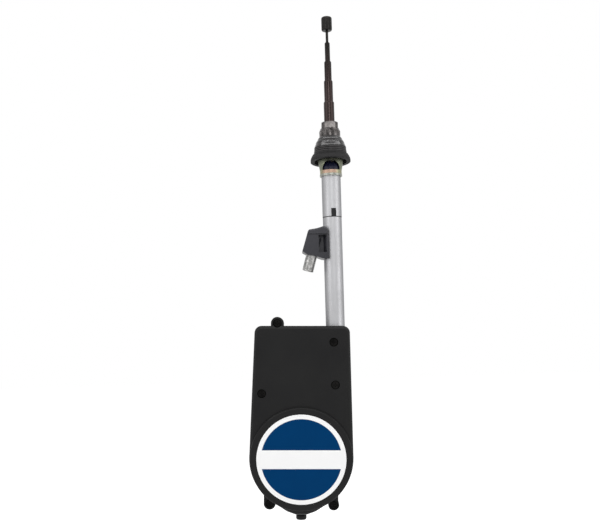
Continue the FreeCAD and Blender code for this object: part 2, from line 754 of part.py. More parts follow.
def socket_housing():
    """Black block on the side of the tube, with a pocket around the socket's boss in its face."""
    left = min(x for x, _ in BLOCK_OUTLINE) - PAST
    low = min(z for _, z in BLOCK_OUTLINE) - PAST
    high = max(z for _, z in BLOCK_OUTLINE) + PAST
    body = slab(BLOCK_OUTLINE, BLOCK_FRONT_Y, BLOCK_BACK_Y)
    body = body.makeFillet(BLOCK_ROUND, edges_on_plane(body, BLOCK_FRONT_Y))
    front = (BLOCK_FRONT_Y - PAST, BLOCK_FRONT_Y + ROOF_LEDGE_STEP)
    ledge = block((left, 0), front, (low, ROOF_LEDGE_Z))
    boss_end = SOCKET_LENGTH + BOSS_R - SOCKET_R
    boss = along_socket(rod(BOSS_R, 0, boss_end))
    pocket = block(POCKET_X, (BLOCK_FRONT_Y - PAST, POCKET_FLOOR_Y), POCKET_Z).cut(boss)
    pocket = pocket.cut(rod(TUBE_R + BLOCK_TUBE_GAP + POCKET_WALL, low, high))
    body = joined([body.cut(ledge).cut(pocket), strap_behind()])
    body = body.cut(rod(TUBE_R + BLOCK_TUBE_GAP, low, high))
    bore = along_socket(rod(SOCKET_R + LINER_GAP, -PAST, SOCKET_LENGTH + FEED_END_GAP))
    channel = block(
        (socket_x(SOCKET_LENGTH + FEED_RISE) - FEED_HOLE_R, -TUBE_R), (-FEED_HOLE_R, FEED_HOLE_R),
        (FEED_Z - FEED_HOLE_R, FEED_Z + FEED_HOLE_R),
    )
    return body.cut(bore).cut(channel)


def slab_level(points, z_low, z_top):
    """Plate with a polygon outline in X and Y."""
    corners = [V(x, y, z_low) for x, y in points]
    face = Part.Face(Part.makePolygon(corners + [corners[0]]))
    return face.extrude(V(0, 0, z_top - z_low))


# Housing.
def sump_corners(inset):
    """Lower corners of the sump from right to left, drawn in by an inset."""
    lift = inset * SUMP_LIFT_SHARE
    squeeze = inset * SUMP_SQUEEZE_SHARE
    right = [(x - squeeze, lift - drop - math.sqrt(DRUM_CASE_R ** 2 - x ** 2)) for x, drop in SUMP_STEPS]
    return right + [(-x, z) for x, z in reversed(right)]


def case_outline(inset, y_front, y_back):
    """Slab with the housing's outline, drawn in by an inset all round."""
    top_z = CASE_TOP_Z - inset
    upper = slab(
        (
            (-DRUM_CASE_R + inset, 0), (CASE_LEFT_TOP_X + inset, top_z),
            (CASE_RIGHT_TOP_X - inset, top_z), (DRUM_CASE_R - inset, 0),
        ),
        y_front, y_back,
    )
    deep = y_back - y_front
    corners = [
        e for e in upper.Edges
        if abs(e.BoundBox.ZMin - top_z) < NEAR and abs(e.BoundBox.YLength - deep) < NEAR
    ]
    upper = upper.makeFillet(CASE_CORNER_R - inset * CORNER_SHRINK_SHARE, corners)
    drum = front_pin(DRUM_CASE_R - inset, y_front, y_back)
    sump = slab(sump_corners(inset) + [(0, 0)], y_front, y_back)
    return joined([upper, drum, sump])


def drum_ear(turn_deg, past, radius):
    """Centre and radius of an ear beside the drum."""
    turn = math.radians(turn_deg)
    reach = DRUM_CASE_R + past
    return reach * math.cos(turn), reach * math.sin(turn), radius


EARS = (TOP_EAR,) + tuple(drum_ear(*ear) for ear in DRUM_EARS)


def ear_solids(y_front, y_back):
    """The three screw ears with their necks."""
    solids = []
    for (x, z, radius), (left, right, down, up) in zip(EARS, EAR_NECKS):
        solids.append(front_pin(radius, y_front, y_back, x, z))
        solids.append(block((x + left, x + right), (y_front, y_back), (z + down, z + up)))
    return solids


def mast_hole(gap):
    """Hole for the mast tube, in the housing's frame."""
    top_z = HOUSING_Z + CASE_TOP_Z
    return unhoused(rod(TUBE_R + gap, top_z - MAST_HOLE_REACH, top_z + MAST_HOLE_REACH))


def front_cover():
    """Front half of the housing with the raised drum disc and sunk screw seats."""
    shell = case_outline(0.0, FACE_Y, 0.0)
    shell = shell.makeFillet(FACE_ROUND, edges_on_plane(shell, FACE_Y))
    disc = front_pin(DISC_R, DISC_Y, FACE_Y + CASE_WALL)
    disc = disc.makeFillet(DISC_ROUND, edges_on_plane(disc, DISC_Y))
    body = joined([shell, disc] + ear_solids(EAR_FRONT_Y, 0.0))
    cavity = case_outline(CASE_WALL, FACE_Y + CASE_WALL, PAST)
    disc_cavity = front_pin(DISC_R - CASE_WALL, DISC_Y + CASE_WALL, 0.0)
    body = body.cut(joined([cavity, disc_cavity]))
    boss_y = FACE_Y + CASE_WALL / 2
    additions = [front_pin(SCREW_BOSS_R, boss_y, SCREW_BOSS_LOW_Y, x, z) for x, z in FACE_SCREWS]
    additions.append(front_pin(AXLE_BOSS_R, DISC_Y + CASE_WALL / 2, DRUM_FRONT_Y - AXLE_END_GAP))
    body = joined([body] + additions)
    for x, z in FACE_SCREWS:
        body = body.cut(screw_seat(x, z, FACE_Y))
    for x, z, _ in EARS:
        body = body.cut(screw_seat(x, z, EAR_FRONT_Y))
    body = body.cut(front_pin(LABEL_R + LABEL_GAP, DISC_Y - PAST, DISC_Y + LABEL_SUNK))
    body = body.cut(front_pin(AXLE_R, DISC_Y + AXLE_FRONT_WALL, 0))
    body = body.cut(mast_hole(TUBE_HOLE_GAP))
    return housed(body)


def screw_seat(x, z, face_y):
    """Cutter for a sunk screw head and the hole for its shank."""
    recess_r = SCREW_HEAD_R + SCREW_RECESS_GAP
    recess = front_pin(recess_r, DISC_Y, face_y + SCREW_RECESS_DEPTH, x, z)
    return recess.fuse(screw_hole(x, z, PAST))


def screw_hole(x, z, y_back):
    """Cutter for a screw's shank from the front to a given depth."""
    return front_pin(SCREW_SHANK_R + SCREW_SHANK_GAP, DISC_Y, y_back, x, z)


def screw_end_y(face_y, shank_length):
    """Depth of a blind hole for a screw whose head is sunk in a face."""
    return face_y + SCREW_RECESS_DEPTH + shank_length + SCREW_END_GAP


def left_lug():
    """Lug inside the left wall that takes the left face screw."""
    x, z = FACE_SCREWS[2]
    web_z = (z - LUG_WEB_HALF_Z, z + LUG_WEB_HALF_Z)
    post = front_pin(LUG_R, LUG_TOP_Y, LUG_LOW_Y, x, z)
    web = block(LUG_WEB_X, LUG_WEB_Y, web_z)
    foot = block((LUG_FOOT_X, LUG_WEB_X[1]), (0, LUG_WEB_Y[1]), web_z)
    return [post, web, foot]


def rear_shell():
    """Rear half: posts, motor shelf, bearing blocks, tube cradles and the drain nipple."""
    shell = case_outline(0.0, 0.0, BACK_Y)
    shell = shell.makeFillet(BACK_ROUND, edges_on_plane(shell, BACK_Y))
    body = joined([shell] + ear_solids(0.0, EAR_BACK_Y))
    inner_back = BACK_Y - CASE_WALL
    body = body.cut(case_outline(CASE_WALL, -PAST, inner_back))
    back = BACK_Y - CASE_WALL / 2
    additions = [block(SHELF_X, (SHELF_FRONT_Y, back), SHELF_Z)]
    additions += [front_pin(BOARD_POST_R, BOARD_Y + BOARD_THICKNESS, back, x, z) for x, z in BOARD_POSTS]
    additions.append(front_pin(AXLE_BOSS_R, SPIGOT_BACK_Y + AXLE_END_GAP, back))
    foot_x = (WORM_X - FOOT_BLOCK_HALF, WORM_X + FOOT_BLOCK_HALF)
    additions.append(block(foot_x, (WHEEL_Y - FOOT_BLOCK_FRONT, back), FOOT_BUSH_Z))
    additions += left_lug() + cradles(back)
    body = joined([body] + additions)
    body = body.cut(mast_hole(TUBE_HOLE_GAP))
    body = body.cut(front_pin(AXLE_R, 0, back))
    body = body.cut(rod(FOOT_BUSH_R, FOOT_BUSH_Z[0] - PAST, FOOT_BUSH_Z[1] + PAST, WORM_X, WHEEL_Y))
    shelf_hole_r = FOOT_BUSH_R + SHELF_HOLE_GAP
    body = body.cut(rod(shelf_hole_r, SHELF_Z[0] - PAST, SHELF_Z[1] + PAST, WORM_X, WHEEL_Y))
    lug_x, lug_z = FACE_SCREWS[2]
    body = body.cut(screw_hole(lug_x, lug_z, screw_end_y(FACE_Y, FACE_SCREW_LENGTH)))
    for x, z, _ in EARS:
        body = body.cut(screw_hole(x, z, screw_end_y(EAR_FRONT_Y, EAR_SCREW_LENGTH)))
    body = body.cut(seal_groove())
    hole_r = GROMMET_R + GROMMET_GAP
    body = body.cut(front_pin(hole_r, inner_back - PAST, BACK_Y + PAST, GROMMET_X, GROMMET_Z))
    body = joined([body, nipple_shape()])
    bore_top_z = PAST + CASE_WALL - DRUM_CASE_R
    body = body.cut(rod(NIPPLE_BORE_R, NIPPLE_LOW_Z - PAST, bore_top_z, 0, NIPPLE_Y))
    return housed(body)


def seal_groove():
    """Cutter for the groove that holds the seal in the rear half's rim."""
    groove = case_outline(SEAL_INSET - SEAL_GAP, -PAST, SEAL_THICKNESS)
    return groove.cut(case_outline(SEAL_INSET + SEAL_WIDTH + SEAL_GAP, -2 * PAST, SEAL_THICKNESS + PAST))


def cradles(back_y):
    """Two ribs that carry the tube from behind."""
    ribs = []
    for z in CRADLE_Z:
        rib = block(
            (-CLAMP_HALF_X, CLAMP_HALF_X), (CRADLE_FRONT_Y, back_y),
            (z - CRADLE_THICKNESS / 2, z + CRADLE_THICKNESS / 2),
        )
        ribs.append(unhoused(rib.cut(rod(TUBE_R + CLAMP_GAP, z - CRADLE_THICKNESS, z + CRADLE_THICKNESS))))
    return ribs


def nipple_shape():
    """Drain nipple with a bead, under the sump."""
    top_z = sump_corners(0.0)[2][1] + NIPPLE_LAP
    bead_low_z = NIPPLE_LOW_Z + NIPPLE_CHAMFER
    bead_top_z = bead_low_z + NIPPLE_BEAD_HEIGHT
    body = turned((
        (0, NIPPLE_LOW_Z),
        (NIPPLE_R, NIPPLE_LOW_Z),
        (NIPPLE_BEAD_R, bead_low_z),
        (NIPPLE_BEAD_R, bead_top_z),
        (NIPPLE_R, bead_top_z + NIPPLE_CHAMFER),
        (NIPPLE_R, top_z),
        (0, top_z),
    ))
    body.translate(V(0, NIPPLE_Y, 0))
    return body


def cover_seal():
    """Rubber cord in the groove between the two halves."""
    ring = case_outline(SEAL_INSET, 0.0, SEAL_THICKNESS)
    ring = ring.cut(case_outline(SEAL_INSET + SEAL_WIDTH, -PAST, SEAL_THICKNESS + PAST))
    return housed(ring.cut(mast_hole(2 * TUBE_HOLE_GAP)))


def label_disc():
    """Round label plate in its shallow seat."""
    return housed(front_pin(LABEL_R, DISC_Y + LABEL_SUNK - LABEL_THICKNESS, DISC_Y + LABEL_SUNK))


def slotted_screw(x, z, seat_y, shank_length):
    """Pan-head screw seen from the front, with a cross slot."""
    top = seat_y - SCREW_HEAD_HEIGHT
    head = front_pin(SCREW_HEAD_R, top, seat_y, x, z)
    head = head.makeFillet(SCREW_HEAD_ROUND, edges_on_plane(head, top))
    body = joined([head, front_pin(SCREW_SHANK_R, seat_y, seat_y + shank_length, x, z)])
    half_long = SCREW_HEAD_R * SCREW_CROSS_SHARE
    half_wide = SCREW_SLOT_WIDTH / 2
    for dx, dz in ((half_long, half_wide), (half_wide, half_long)):
        body = body.cut(block((x - dx, x + dx), (top - PAST, top + SCREW_SLOT_DEPTH), (z - dz, z + dz)))
    return housed(body)


def face_screws():
    """Three screws in the front face."""
    seat = FACE_Y + SCREW_RECESS_DEPTH
    return Part.makeCompound([slotted_screw(x, z, seat, FACE_SCREW_LENGTH) for x, z in FACE_SCREWS])


def ear_screws():
    """Three screws that hold the halves together at the ears."""
    seat = EAR_FRONT_Y + SCREW_RECESS_DEPTH
    return Part.makeCompound([slotted_screw(x, z, seat, EAR_SCREW_LENGTH) for x, z, _ in EARS])


# Inside the housing.
def tube_clamp():
    """Saddle that the two right-hand screws press on the tube."""
    body = block((-CLAMP_HALF_X, CLAMP_HALF_X), (SCREW_BOSS_LOW_Y, CLAMP_BACK_Y), CLAMP_Z)
    body = body.cut(rod(TUBE_R + CLAMP_GAP, CLAMP_Z[0] - PAST, CLAMP_Z[1] + PAST))
    for x, z in FACE_SCREWS[:2]:
        body = body.cut(housed(screw_hole(x, z, 0)))
    return body


def cable_guide():
    """Plastic guide under the tube that leads the cable to the drum."""
    top_z = TUBE_LOW_Z
    flange = rod(TUBE_R, top_z - GUIDE_FLANGE_THICKNESS, top_z)
    spigot = rod(CONTACT_BORE_R - LINER_GAP, top_z - PAST, top_z + GUIDE_SPIGOT_LENGTH)
    stem = block((-GUIDE_HALF, GUIDE_HALF), (-GUIDE_HALF, GUIDE_HALF), (GUIDE_LOW_Z, top_z - PAST))
    body = joined([flange, spigot, stem])
    return body.cut(rod(GUIDE_BORE_R, GUIDE_LOW_Z - PAST, top_z + GUIDE_SPIGOT_LENGTH + PAST))


def drive_cable_run():
    """Nylon cable from the ferrule down to where it meets the drum."""
    return rod(CABLE_R, HOUSING_Z + CABLE_END_GAP, ROD_LOW_Z + FERRULE_LENGTH / 4)


def drive_cable_coil():
    """Turns of the nylon cable on the drum, each section a polygon around the cable's circle."""
    height = CABLE_TURNS * CABLE_TURN_PITCH
    path = Part.makeHelix(CABLE_TURN_PITCH, height, CABLE_PITCH_R, 0, True)
    corners = []
    for i in range(CABLE_SIDES + 1):
        turn = 2 * math.pi * i / CABLE_SIDES
        corners.append(V(CABLE_PITCH_R + CABLE_R * math.cos(turn), 0, CABLE_R * math.sin(turn)))
    coil = Part.Wire(path).makePipeShell([Part.makePolygon(corners)], True, True)
    coil.rotate(V(0, 0, 0), X_AXIS, 90)
    coil.translate(V(HOUSING_X, 0, HOUSING_Z))
    return coil


def cable_drum():
    """Drum with two flanges, a web with holes and a long hub for the worm wheel."""
    bore_r = AXLE_R + AXLE_GAP
    front, back = DRUM_FRONT_Y, DRUM_BACK_Y
    rim_r = DRUM_CORE_R - DRUM_RIM_THICKNESS
    flange = DRUM_FLANGE_THICKNESS
    body = laid_back(turned((
        (bore_r, front), (DRUM_HUB_R, front), (DRUM_HUB_R, DRUM_WEB_Y[0]), (rim_r, DRUM_WEB_Y[0]),
        (rim_r, front), (DRUM_FLANGE_R, front), (DRUM_FLANGE_R, front + flange),
        (DRUM_CORE_R, front + flange),
        (DRUM_CORE_R, back - flange), (DRUM_FLANGE_R, back - flange), (DRUM_FLANGE_R, back), (rim_r, back),
        (rim_r, DRUM_WEB_Y[1]), (DRUM_SEAT_R, DRUM_WEB_Y[1]), (DRUM_SEAT_R, DRUM_SEAT_BACK_Y),
        (SPIGOT_R, DRUM_SEAT_BACK_Y), (SPIGOT_R, SPIGOT_BACK_Y), (bore_r, SPIGOT_BACK_Y),
    )))
    hole_pitch_r = (rim_r + DRUM_SEAT_R) / 2
    hole_r = (rim_r - DRUM_SEAT_R) / 2 - DRUM_HOLE_WALL
    for i in range(DRUM_HOLE_COUNT):
        angle = math.radians(i * FULL_TURN / DRUM_HOLE_COUNT)
        x = hole_pitch_r * math.cos(angle)
        z = hole_pitch_r * math.sin(angle)
        body = body.cut(front_pin(hole_r, DRUM_WEB_Y[0] - PAST, DRUM_WEB_Y[1] + PAST, x, z))
    groove_y = ring_front_y()
    groove_r = SPIGOT_R - RING_GROOVE_DEPTH
    groove = laid_back(tube(SPIGOT_R + PAST, groove_r, groove_y, groove_y + RING_THICKNESS))
    return housed(body.cut(groove))


def wheel_back_y():
    """Rear face of the worm wheel."""
    return WHEEL_Y + WHEEL_WIDTH / 2


def ring_front_y():
    """Front face of the retaining ring, behind the clutch spring."""
    return wheel_back_y() + SPRING_THICKNESS + SPRING_RISE


def drum_axle():
    """Steel pin that the drum turns on."""
    return housed(front_pin(AXLE_R, DISC_Y + AXLE_FRONT_WALL, BACK_Y - CASE_WALL / 2))


def clutch_lining():
    """Friction disc between drum and worm wheel."""
    y_back = WHEEL_Y - WHEEL_WIDTH / 2
    return housed(laid_back(tube(LINING_R, SPIGOT_R + LINER_GAP, DRUM_SEAT_BACK_Y, y_back)))


def clutch_spring():
    """Dished spring washer that loads the slip clutch."""
    y = wheel_back_y()
    bore_r = SPIGOT_R + LINER_GAP
    rise = SPRING_RISE
    return housed(laid_back(turned((
        (SPRING_R, y), (SPRING_R, y + SPRING_THICKNESS),
        (bore_r, y + rise + SPRING_THICKNESS), (bore_r, y + rise),
    ))))


def retaining_ring():
    """Ring in the hub's groove, behind the spring."""
    y = ring_front_y()
    body = tube(RING_R, SPIGOT_R - RING_GROOVE_DEPTH + LINER_GAP, y, y + RING_THICKNESS)
    half = RING_OPENING / 2
    gap = block((0, RING_R + PAST), (-half, half), (y - PAST, y + RING_THICKNESS + PAST))
    return housed(laid_back(body.cut(gap)))


def wheel_ring(y, turn):
    """Toothed outline of the worm wheel in one plane, turned by an angle about +Y."""
    foot_r = WHEEL_PITCH_R - WHEEL_FOOT * WHEEL_MODULE
    tip_r = WHEEL_PITCH_R + WHEEL_MODULE
    step = 2 * math.pi / WHEEL_TEETH
    foot_half = step * WHEEL_TOOTH_ROOT_SHARE / 2
    tip_half = step * WHEEL_TOOTH_TIP_SHARE / 2
    corners = []
    for i in range(WHEEL_TEETH):
        middle = (i + 0.5) * step + math.pi
        for offset, r in ((-foot_half, foot_r), (-tip_half, tip_r), (tip_half, tip_r), (foot_half, foot_r)):
            angle = middle + offset - turn
            corners.append(V(r * math.cos(angle), y, r * math.sin(angle)))
    return Part.makePolygon(corners + [corners[0]])


def worm_wheel():
    """Worm wheel whose teeth slant with the worm's thread."""
    half = WHEEL_WIDTH / 2
    slant = WORM_LEAD / (2 * math.pi * WORM_PITCH_R) / WHEEL_PITCH_R
    rings = [wheel_ring(WHEEL_Y - half, -half * slant), wheel_ring(WHEEL_Y + half, half * slant)]
    body = Part.makeLoft(rings, True, True)
    bore = front_pin(SPIGOT_R + LINER_GAP, WHEEL_Y - half - PAST, WHEEL_Y + half + PAST)
    return housed(body.cut(bore))


def worm():
    """Single-start right-hand worm on the motor shaft."""
    core = rod(WORM_ROOT_R, -WORM_HALF_LENGTH, WORM_HALF_LENGTH)
    turns = math.floor(2 * (WORM_HALF_LENGTH - WORM_LEAD / 2) / WORM_LEAD)
    height = turns * WORM_LEAD
    path = Part.makeHelix(WORM_LEAD, height, WORM_PITCH_R)
    sunk_r = WORM_ROOT_R - WORM_THREAD_SUNK
    root = WORM_THREAD_ROOT / 2
    tip = WORM_THREAD_TIP / 2
    profile = Part.makePolygon([
        V(sunk_r, 0, -root), V(WORM_TIP_R, 0, -tip), V(WORM_TIP_R, 0, tip), V(sunk_r, 0, root),
        V(sunk_r, 0, -root),
    ])
    thread = Part.Wire(path).makePipeShell([profile], True, True)
    thread.translate(V(0, 0, -height / 2))
    if turns % 2:
        thread.rotate(V(0, 0, 0), Z_AXIS, 180)
    body = core.fuse(thread).cut(rod(SHAFT_R, -2 * WORM_HALF_LENGTH, 2 * WORM_HALF_LENGTH))
    body.translate(V(WORM_X, WHEEL_Y, 0))
    return housed(body)


def foot_bush():
    """Bronze bush at the lower end of the motor shaft."""
    floor_z = FOOT_BUSH_Z[0] + FOOT_BUSH_FLOOR
    body = tube(FOOT_BUSH_R, SHAFT_R + SHAFT_GAP, floor_z, FOOT_BUSH_Z[1])
    body = joined([body, rod(FOOT_BUSH_R, FOOT_BUSH_Z[0], floor_z)])
    body.translate(V(WORM_X, WHEEL_Y, 0))
    return housed(body)


def on_motor_axis(shape):
    """Moves a shape made about Z to the motor's axis."""
    shape.translate(V(WORM_X, WHEEL_Y, 0))
    return housed(shape)


def motor_can():
    """Drawn steel can with a bearing neck at its lower end."""
    inner = MOTOR_R - MOTOR_WALL
    neck_r = FOOT_BUSH_R
    bore_r = SHAFT_R + SHAFT_GAP
    low = MOTOR_LOW_Z
    return on_motor_axis(turned((
        (bore_r, low - MOTOR_NECK_OUT), (neck_r, low - MOTOR_NECK_OUT), (neck_r, low), (MOTOR_R, low),
        (MOTOR_R, MOTOR_TOP_Z), (inner, MOTOR_TOP_Z), (inner, low + MOTOR_WALL), (neck_r, low + MOTOR_WALL),
        (neck_r, low + MOTOR_NECK_IN), (bore_r, low + MOTOR_NECK_IN),
    )))


def motor_end_cap():
    """Plastic end cap that carries the upper bearing and the brushes."""
    inner = MOTOR_R - MOTOR_WALL
    top = MOTOR_TOP_Z + MOTOR_CAP_HEIGHT
    bore_r = SHAFT_R + SHAFT_GAP
    return on_motor_axis(turned((
        (bore_r, MOTOR_TOP_Z - MOTOR_CAP_LIP), (inner - LINER_GAP, MOTOR_TOP_Z - MOTOR_CAP_SPIGOT),
        (inner - LINER_GAP, MOTOR_TOP_Z), (MOTOR_R, MOTOR_TOP_Z), (MOTOR_R, top - MOTOR_CAP_LIP),
        (MOTOR_R - MOTOR_CAP_LIP, top), (0, top), (0, top - MOTOR_CAP_TOP), (bore_r, top - MOTOR_CAP_TOP),
    )))


def motor_magnets():
    """Two curved magnets inside the can."""
    solids = []
    inner_r, outer_r = MAGNET_R
    low, high = MAGNET_Z
    for start in (90 - MAGNET_HALF_DEG, 270 - MAGNET_HALF_DEG):
        outline = ((inner_r, low), (outer_r, low), (outer_r, high), (inner_r, high))
        arc = turned(outline, 2 * MAGNET_HALF_DEG)
        arc.rotate(V(0, 0, 0), Z_AXIS, start)
        solids.append(on_motor_axis(arc))
    return Part.makeCompound(solids)


def motor_armature():
    """Shaft, slotted core and commutator, turning as one."""
    top = MOTOR_TOP_Z + MOTOR_CAP_HEIGHT - MOTOR_CAP_TOP - SHAFT_TOP_GAP
    shaft = rod(SHAFT_R, SHAFT_LOW_Z, top)
    core = rod(CORE_R, *CORE_Z)
    for i in range(CORE_SLOTS):
        slot = block(
            (CORE_R - CORE_SLOT_DEPTH, CORE_R + PAST), (-CORE_SLOT_WIDTH / 2, CORE_SLOT_WIDTH / 2),
            (CORE_Z[0] - PAST, CORE_Z[1] + PAST),
        )
        slot.rotate(V(0, 0, 0), Z_AXIS, i * FULL_TURN / CORE_SLOTS)
        core = core.cut(slot)
    commutator = rod(COMMUTATOR_R, CORE_Z[1], COMMUTATOR_TOP_Z)
    return on_motor_axis(joined([shaft, core, commutator]))


def circuit_board():
    """Board that switches and limits the motor."""
    return housed(block(BOARD_X, (BOARD_Y, BOARD_Y + BOARD_THICKNESS), BOARD_Z))


def relay():
    """Relay on the front of the board."""
    body = block(RELAY_X, (BOARD_Y - RELAY_HEIGHT, BOARD_Y), RELAY_Z)
    body = body.makeFillet(RELAY_ROUND, edges_on_plane(body, BOARD_Y - RELAY_HEIGHT))
    return housed(body)


def lead_grommet():
    """Blind rubber grommet in the back wall, where the supply lead comes in."""
    inner_back = BACK_Y - CASE_WALL
    body = laid_back(turned((
        (0, inner_back - GROMMET_LIP), (GROMMET_LIP_R, inner_back - GROMMET_LIP),
        (GROMMET_LIP_R, inner_back), (GROMMET_R, inner_back), (GROMMET_R, BACK_Y), (GROMMET_LIP_R, BACK_Y),
        (GROMMET_LIP_R, BACK_Y + GROMMET_LIP), (GROMMET_R, BACK_Y + GROMMET_LIP),
        (GROMMET_NOSE_R, BACK_Y + GROMMET_NOSE_OUT), (0, BACK_Y + GROMMET_NOSE_OUT),
    )))
    body.translate(V(GROMMET_X, 0, GROMMET_Z))
    return housed(body)


NODES = {
    "tip_knob": tip_knob,
    "tip_rod": tip_rod,
    "cable_ferrule": cable_ferrule,
    "mast_stage_1": lambda: mast_stage(STAGE_1_R, STAGE_1_TOP_Z, STAGE_1_LOW_Z, ROD_R),
    "mast_stage_2": lambda: mast_stage(STAGE_2_R, STAGE_2_TOP_Z, STAGE_2_LOW_Z, STAGE_1_R),
    "mast_stage_3": lambda: mast_stage(STAGE_3_R, STAGE_3_TOP_Z, STAGE_3_LOW_Z, STAGE_2_R),
    "mast_stage_4": lambda: mast_stage(STAGE_4_R, STAGE_4_TOP_Z, STAGE_4_LOW_Z, STAGE_3_R),
    "guide_bush_1": lambda: guide_bush(STAGE_1_R, STAGE_2_R - STAGE_WALL, STAGE_1_LOW_Z),
    "guide_bush_2": lambda: guide_bush(STAGE_2_R, STAGE_3_R - STAGE_WALL, STAGE_2_LOW_Z),
    "guide_bush_3": lambda: guide_bush(STAGE_3_R, STAGE_4_R - STAGE_WALL, STAGE_3_LOW_Z),
    "guide_bush_4": lambda: guide_bush(STAGE_4_R, CONTACT_BORE_R, STAGE_4_LOW_Z),
    "cap_nut": cap_nut,
    "nut_washer": nut_washer,
    "threaded_neck": threaded_neck,
    "domed_cap": domed_cap,
    "ribbed_ring": ribbed_ring,
    "fender_gasket": fender_gasket,
    "claw_bracket": claw_bracket,
    "ball_insulator": ball_insulator,
    "sleeve_collar": sleeve_collar,
    "upper_sleeve": upper_sleeve,
    "lower_tube": lower_tube,
    "insulating_liner": insulating_liner,
    "contact_tube": contact_tube,
    "socket_housing": socket_housing,
    "socket_barrel": socket_barrel,
    "socket_insulator": socket_insulator,
    "socket_contact": socket_contact,
    "feed_wire": feed_wire,
    "front_cover": front_cover,
    "rear_shell": rear_shell,
    "cover_seal": cover_seal,
    "label_disc": label_disc,
    "face_screws": face_screws,
    "ear_screws": ear_screws,
    "tube_clamp": tube_clamp,
    "cable_guide": cable_guide,
    "drive_cable_run": drive_cable_run,
    "drive_cable_coil": drive_cable_coil,
    "cable_drum": cable_drum,
    "drum_axle": drum_axle,
    "clutch_lining": clutch_lining,
    "clutch_spring": clutch_spring,
    "retaining_ring": retaining_ring,
    "worm_wheel": worm_wheel,
    "worm": worm,
    "foot_bush": foot_bush,
    "motor_can": motor_can,
    "motor_end_cap": motor_end_cap,
    "motor_magnets": motor_magnets,
    "motor_armature": motor_armature,
    "circuit_board": circuit_board,
    "relay": relay,
    "lead_grommet": lead_grommet,
}

os.makedirs("parts", exist_ok=True)
for name, make in NODES.items():
    shape = make()
    shape.exportStep("parts/" + name + ".step")
    print(name, len(shape.Solids), round(shape.Volume, 1), shape.isValid())
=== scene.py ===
import json
import math

import bpy
import numpy as np
from mathutils import Matrix, Vector


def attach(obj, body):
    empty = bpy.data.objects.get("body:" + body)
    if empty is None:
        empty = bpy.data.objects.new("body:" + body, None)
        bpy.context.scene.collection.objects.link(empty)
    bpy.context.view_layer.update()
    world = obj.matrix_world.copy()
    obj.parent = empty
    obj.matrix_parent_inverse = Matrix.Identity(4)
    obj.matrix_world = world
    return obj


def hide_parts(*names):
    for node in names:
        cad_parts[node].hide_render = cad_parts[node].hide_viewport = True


# A motor-driven telescopic car antenna: black mast, head with a claw underneath, aluminium tube
# with an aerial socket on its side, and a black housing with a round label.
# Metres, in the part's own frame: +Z up the mast, -Y the front.

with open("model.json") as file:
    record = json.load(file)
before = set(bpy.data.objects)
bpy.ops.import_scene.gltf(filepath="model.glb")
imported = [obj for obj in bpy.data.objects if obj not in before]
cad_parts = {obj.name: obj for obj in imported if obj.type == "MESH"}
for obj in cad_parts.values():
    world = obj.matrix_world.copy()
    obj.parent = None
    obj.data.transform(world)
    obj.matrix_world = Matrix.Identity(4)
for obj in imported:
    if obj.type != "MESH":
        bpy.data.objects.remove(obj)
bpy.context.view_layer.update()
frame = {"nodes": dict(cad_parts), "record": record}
nodes = frame["nodes"]

MM = 0.001

# The housing hangs a little askew of the mast: its own level frame, seen from the part's frame.
HOUSING_PLACE = Vector((-34.0 * MM, 0.0, -263.9 * MM))
HOUSING_LEAN = math.radians(1.667)

# Camera: in front of the tube, upright to the housing and not to the mast, the picture shifted up.
CAMERA_PLACE = Vector((-31.9 * MM, -720.0 * MM, -150.2 * MM))
CAMERA_LENS = 48.0
CAMERA_SENSOR = 36.0
CAMERA_SHIFT_UP = 64.0 / 600.0

# Knob on the tip and the aerial socket's axis.
KNOB_R = 4.75 * MM
KNOB_LOW_Z = 118.1 * MM
KNOB_TOP_Z = 130.2 * MM
KNOB_ROUND = 1.2 * MM
KNOB_FLUTES = 22
KNOB_FLUTE_DEPTH = 0.22 * MM
KNOB_FLUTE_RUN_OUT = 0.2 * MM
SOCKET_END = Vector((-23.4 * MM, 0.0, -97.5 * MM))
SOCKET_LEAN = math.radians(15.9)

# Bore of the head's dome, in millimetres as its outline is.
DOME_BORE_R = 6.85

# Joint between the upper sleeve and the lower tube.
TUBE_JOINT_Z = -49.9 * MM

# Drive cable: radius, where it leaves the drum, where it meets the tip's rod, how deep its
# ferrule takes it, how far the tip can still sink, and how much thinner its upper part is.
CABLE_R = 1.25 * MM
CABLE_LOW_Z = -263.8 * MM
CABLE_TOP_Z = -0.05 * MM
CABLE_IN_FERRULE = 2.1 * MM
TIP_STILL_SINKS = 80.735 * MM
CABLE_SLIDE_GAP = 0.04 * MM

# Turned meshes: steps round a plain one, steps to each flute, and the least angle of a sharp edge.
ROUND_STEPS = 128
STEPS_PER_FLUTE = 8
SHARP_EDGE = math.radians(40.0)

# Stretch that most of a noise texture's values lie in.
NOISE_LOW = 0.3
NOISE_HIGH = 0.7

# Label: radius of the blue fields, half height of the white band, half width of a printed edge.
LABEL_FIELD_R = 35.6 * MM
LABEL_BAND_HALF = 8.2 * MM
LABEL_EDGE = 0.12 * MM

# Head: top of its satin ribs and foot of its polished dome.
SATIN_TOP_Z = 12.4 * MM
POLISH_LOW_Z = 13.0 * MM

# Mast: where the browning starts below the tip, and where it is full.
BROWN_TOP_Z = 104.0 * MM
BROWN_FULL_Z = 66.0 * MM

# Painted shade of the gap in the tube's joint: half width of the dark line, and where it has faded.
JOINT_SHADE_HALF = 0.25 * MM
JOINT_SHADE_END = 0.55 * MM

# Claw: heights over which its golden band begins and ends, middle of the copper patch in the band,
# and the distances from it over which the copper fades.
GOLD_LOW_Z = (-11.4 * MM, -10.9 * MM)
GOLD_TOP_Z = (-8.2 * MM, -7.2 * MM)
COPPER_X = -1.5 * MM
COPPER_HALF_X = (4.5 * MM, 8.0 * MM)

